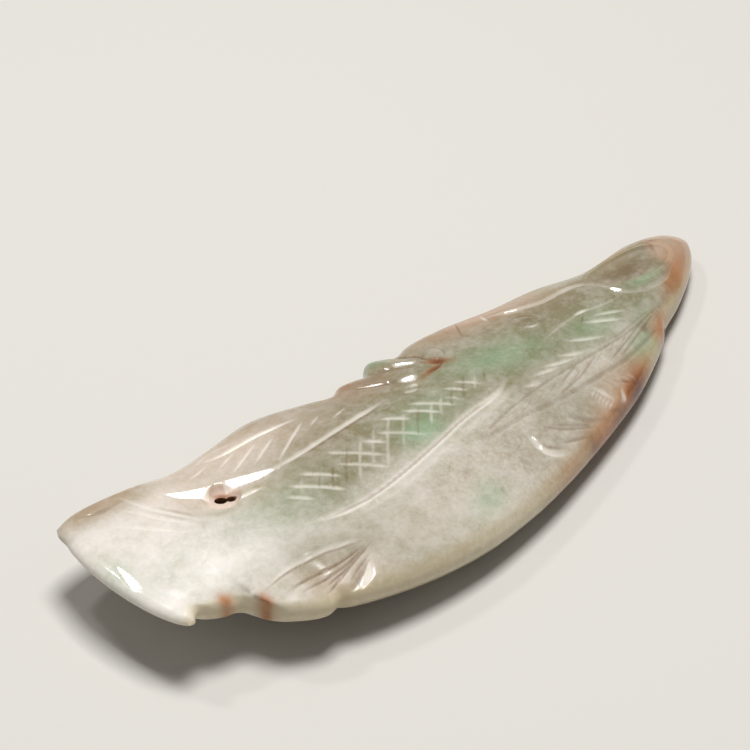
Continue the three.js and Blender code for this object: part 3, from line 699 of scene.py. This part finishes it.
# %% [markdown]
# ## Polished jadeite
# Jadeite is a felt of fine crystals, polished with finer and finer grit until it gleams like oiled glass.
# Light goes a few millimetres into it before it comes back, so the stone seems lit from inside and thin
# edges glow. Its index of refraction is about 1.66. Colour lies in clouds and in hairlines, where iron has
# seeped in along cracks. Where the wheel's grit was left, the stone is paler and dull, and the polish never
# quite reached the floor of the mouth and the corners of the belly fin, so they gleam less.
# A painted image could show all this too, but noise and weights need no unwrapping and stay sharp close up.

# %% A node helper and the stone's colours
def linear(hex_code):
    """A colour as artists write it, turned into the linear light that Blender mixes."""
    parts = [int(hex_code[k:k + 2], 16) / 255 for k in (1, 3, 5)]
    return [p / 12.92 if p <= 0.04045 else ((p + 0.055) / 1.055) ** 2.4 for p in parts] + [1]


def add(tree, kind, links=None, **settings):
    """A node with its settings; links maps an input to a value or to another node's output."""
    node = tree.nodes.new(kind)
    for key, value in settings.items():
        setattr(node, key, value)
    for socket, value in (links or {}).items():
        if isinstance(value, bpy.types.NodeSocket):
            tree.links.new(value, node.inputs[socket])
        else:
            node.inputs[socket].default_value = value
    return node


MILK, GREY_GREEN, APPLE_GREEN = linear("#e2ddd6"), linear("#817b60"), linear("#7dab84")
TAN, RUSSET, DARK_RUSSET = linear("#bf9f86"), linear("#aa6a3a"), linear("#56260f")
RIM_GLOW_HONEY, HAIRLINE_STAIN_AND_SHADE, GROUND_JADE_AND_GLINT = linear("#dac999"), linear("#70502f"), linear("#eee8de")
FROSTED, DRILLED, VEIL = linear("#d0bdae"), linear("#7a5a42"), linear("#bdbcab")

jade = bpy.data.materials.new("polished jadeite")
jade.use_nodes = True
tree = jade.node_tree
stone = tree.nodes["Principled BSDF"]
where = add(tree, "ShaderNodeTexCoord").outputs["Object"]
print("milky ground in linear light:", [round(part, 3) for part in MILK[:3]])

# %% Signals: the weights, noise at three sizes, cracks and grit
# The real felt is finer than the picture can show, so the grain is drawn at almost half a millimetre.
NOISES_MM = {"clouds": 4, "felt": 1.1, "grain": 0.45}
DETAIL = {"clouds": (5, 0.6), "felt": (4, 0.7), "grain": (3, 0.6)}
CRACKLE_MM, CRACK_BEND_MM = 2.4, 3

signals = {name: add(tree, "ShaderNodeAttribute", attribute_name=name).outputs["Fac"] for name in weights}
noise = {}
for name, size in NOISES_MM.items():
    octaves, roughness = DETAIL[name]
    noise[name] = add(tree, "ShaderNodeTexNoise", {"Vector": where, "Scale": 1 / (size * MM),
                                                   "Detail": octaves, "Roughness": roughness})
    signals[name] = noise[name].outputs["Fac"]
bend = add(tree, "ShaderNodeVectorMath", {0: noise["clouds"].outputs["Color"], 1: (CRACK_BEND_MM * MM,) * 3},
           operation="MULTIPLY")
bent = add(tree, "ShaderNodeVectorMath", {0: where, 1: bend.outputs["Vector"]}, operation="ADD")
cracks = add(tree, "ShaderNodeTexVoronoi", {"Vector": bent.outputs["Vector"], "Scale": 1 / (CRACKLE_MM * MM)},
             feature="DISTANCE_TO_EDGE")
signals["way to a crack"] = cracks.outputs["Distance"]
grit = add(tree, "ShaderNodeMath", {0: signals["frosted"], 1: signals["unpolished"]}, operation="MAXIMUM",
           use_clamp=True)
signals["grit"] = grit.outputs["Value"]
print("signals:", ", ".join(signals))

# %% Shares: a span of each signal, and what it turns into
SPANS = {
    "wide patches": ("clouds", 0.3, 0.7, 0.82, 1.12),
    "fine patches": ("felt", 0.3, 0.7, 0.82, 1.15),
    "wide veil": ("clouds", 0.35, 0.65, 0, 0.7),
    "fine veil": ("felt", 0.35, 0.65, 0.2, 1),
    "hairlines": ("way to a crack", 0, 0.035, 1, 0),
    "cracked places": ("clouds", 0.46, 0.6, 0, 0.35),
    "speckle": ("grain", 0.35, 0.7, 0, 0.25),
    "speckled places": ("crazed", 0, 1, 0.35, 1),
    "polish": ("grain", 0.3, 0.7, 0.1, 0.18),
    "gleam": ("grit", 0, 1, 0.5, 0.15),
}
for name, (signal, low, high, to_low, to_high) in SPANS.items():
    span = add(tree, "ShaderNodeMapRange", {"Value": signals[signal], "From Min": low, "From Max": high,
                                            "To Min": to_low, "To Max": to_high})
    signals[name] = span.outputs["Result"]
print("shares:", ", ".join(SPANS))

# %% Colour, laid on in layers from the milky ground up to the stain in the cuts
# A layer is a colour and the signals, or the plain share, that are multiplied for how much of it is seen.
# A mix node lists its sockets once for each kind of value: these are the places of its colour sockets.
SHARE, UNDER, OVER, MIXED = 0, 6, 7, 2
PATCHES = ("wide patches", "fine patches")
LAYERS = [
    (VEIL, "wide veil", "fine veil"),
    (GREY_GREEN, "grey", *PATCHES),
    (TAN, "tan", *PATCHES),
    (APPLE_GREEN, "green", *PATCHES),
    # painted glow on the thin rim
    (RIM_GLOW_HONEY, "thin_rim_glow", 0.45),
    (FROSTED, "frosted", 0.8),
    (RUSSET, "russet", *PATCHES),
    (DARK_RUSSET, "dark_russet", *PATCHES),
    (HAIRLINE_STAIN_AND_SHADE, "hairlines", "cracked places", "crazed"),
    (HAIRLINE_STAIN_AND_SHADE, "speckle", "speckled places"),
    # pale cuts and facets: ground stone and painted highlight
    (GROUND_JADE_AND_GLINT, "ground_cut_and_glint"),
    # brown cuts: stain and painted shade
    (HAIRLINE_STAIN_AND_SHADE, "stain_and_shade_cut"),
]
colour = MILK
for paint, first, *others in LAYERS:
    share = signals[first]
    for other in others:
        share = add(tree, "ShaderNodeMath", {0: share, 1: signals.get(other, other)},
                    operation="MULTIPLY").outputs["Value"]
    layer = add(tree, "ShaderNodeMix", {SHARE: share, UNDER: colour, OVER: paint}, data_type="RGBA")
    colour = layer.outputs[MIXED]
# The bores' walls are painted a darker brown than the stone outside them.
bored_or_not = add(tree, "ShaderNodeMix", {SHARE: signals["weathered"], UNDER: DRILLED, OVER: colour},
                   data_type="RGBA")
tree.links.new(bored_or_not.outputs[MIXED], stone.inputs["Base Color"])
print("colour:", len(LAYERS), "layers on the milky ground")

# %% Gloss, glow and the finest unevenness
JADEITE_IOR, GRIT_ROUGHNESS = 1.66, 0.5
GLOW, GLOW_DEPTH_MM, GLOW_BY_COLOUR = 0.4, 1.2, (1.0, 0.85, 0.6)
RIPPLE, RIPPLE_MM = 0.04, 0.2

gritty = add(tree, "ShaderNodeMath", {0: signals["grit"], 1: GRIT_ROUGHNESS}, operation="MULTIPLY")
dull = add(tree, "ShaderNodeMath", {0: gritty.outputs["Value"], 1: signals["polish"]}, operation="ADD")
ripple = add(tree, "ShaderNodeBump",
             {"Height": signals["grain"], "Strength": RIPPLE, "Distance": RIPPLE_MM * MM})
tree.links.new(dull.outputs["Value"], stone.inputs["Roughness"])
tree.links.new(signals["gleam"], stone.inputs["Specular IOR Level"])
tree.links.new(ripple.outputs["Normal"], stone.inputs["Normal"])
stone.inputs["IOR"].default_value = JADEITE_IOR
stone.inputs["Subsurface Weight"].default_value = GLOW
stone.inputs["Subsurface Radius"].default_value = GLOW_BY_COLOUR
stone.inputs["Subsurface Scale"].default_value = GLOW_DEPTH_MM * MM
fish.data.materials.clear()
fish.data.materials.append(jade)
print("polished jadeite:", len(tree.nodes), "nodes")

# %% Hand the carved fish to the frame
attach(fish, "root")
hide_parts("jade_fish")
print("carved fish rides on root and stands for jade_fish")

# %% [markdown]
# ## The studio
# A plain pale floor and two soft lights, as the gleams tell: a large one overhead, which lies in the facets
# and in the walls of the rows of scales, and a small one beyond the tail, which lies in the facet on its rim.
# A polished stone shows mostly what it mirrors, so where the lights stand matters more than their strength.

# %% Floor
FLOOR_HALF, FLOOR_DROP = 3.0, 0.00005
CORNERS = ((-1, -1), (1, -1), (1, 1), (-1, 1))
floor_places = [(right * FLOOR_HALF, far * FLOOR_HALF, -FLOOR_DROP) for right, far in CORNERS]
floor_mesh = bpy.data.meshes.new("floor")
floor_mesh.from_pydata(floor_places, [], [(0, 1, 2, 3)])
floor = bpy.data.objects.new("floor", floor_mesh)
bpy.context.scene.collection.objects.link(floor)
paper = bpy.data.materials.new("matt studio paper")
paper.use_nodes = True
sheet = paper.node_tree.nodes["Principled BSDF"]
sheet.inputs["Base Color"].default_value = linear("#c9c6c0")
sheet.inputs["Roughness"].default_value = 0.9
floor_mesh.materials.append(paper)
floor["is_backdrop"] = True
print("floor:", 2 * FLOOR_HALF, "m square")

# %% Lights
TARGET = Vector((0.777, 10.539, 4)) * MM


def softbox(name, towards, distance, size, power):
    """A square light that looks at the fish from this direction."""
    lamp = bpy.data.lights.new(name, "AREA")
    lamp.size, lamp.energy = size, power
    light_object = bpy.data.objects.new(name, lamp)
    direction = Vector(towards).normalized()
    light_object.location = TARGET + direction * distance
    light_object.rotation_euler = direction.to_track_quat("Z", "Y").to_euler()
    bpy.context.scene.collection.objects.link(light_object)


softbox("overhead softbox", towards=(0.08, 0, 1), distance=0.6, size=0.2, power=3.8)
softbox("tail softbox", towards=(-0.151, 0.462, 0.874), distance=0.283, size=0.028, power=0.11)
world = bpy.data.worlds.new("soft studio")
world.use_nodes = True
surroundings = world.node_tree.nodes["Background"]
surroundings.inputs["Color"].default_value = linear("#f4f2ee")
surroundings.inputs["Strength"].default_value = 0.25
bpy.context.scene.world = world
bpy.context.scene.view_settings.view_transform = "Standard"
print("lights:", [lamp.name for lamp in bpy.data.lights])

# %% Camera
AZIMUTH, ELEVATION, DISTANCE, LENS_MM, SENSOR_MM = -45, 43, 0.33, 159.2, 36
a, e = math.radians(AZIMUTH), math.radians(ELEVATION)
back = Vector((math.sin(a) * math.cos(e), -math.cos(a) * math.cos(e), math.sin(e)))
camera = bpy.data.objects.new("camera", bpy.data.cameras.new("camera"))
camera.data.lens, camera.data.sensor_width = LENS_MM, SENSOR_MM
camera.data.clip_start, camera.data.clip_end = 0.01, 20
camera.location = TARGET + back * DISTANCE
camera.rotation_euler = back.to_track_quat("Z", "Y").to_euler()
bpy.context.scene.collection.objects.link(camera)
bpy.context.scene.camera = camera
print("camera:", ELEVATION, "degrees above the floor,", DISTANCE, "m away")

# %% Sizes, and the end
boxes = {"cad": [list(corner) for corner in CAD_BOX], "visual": [list(corner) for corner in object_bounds()]}
for name, box in boxes.items():
    print(name, "box in mm:", [round(v / MM, 2) for corner in box for v in corner])
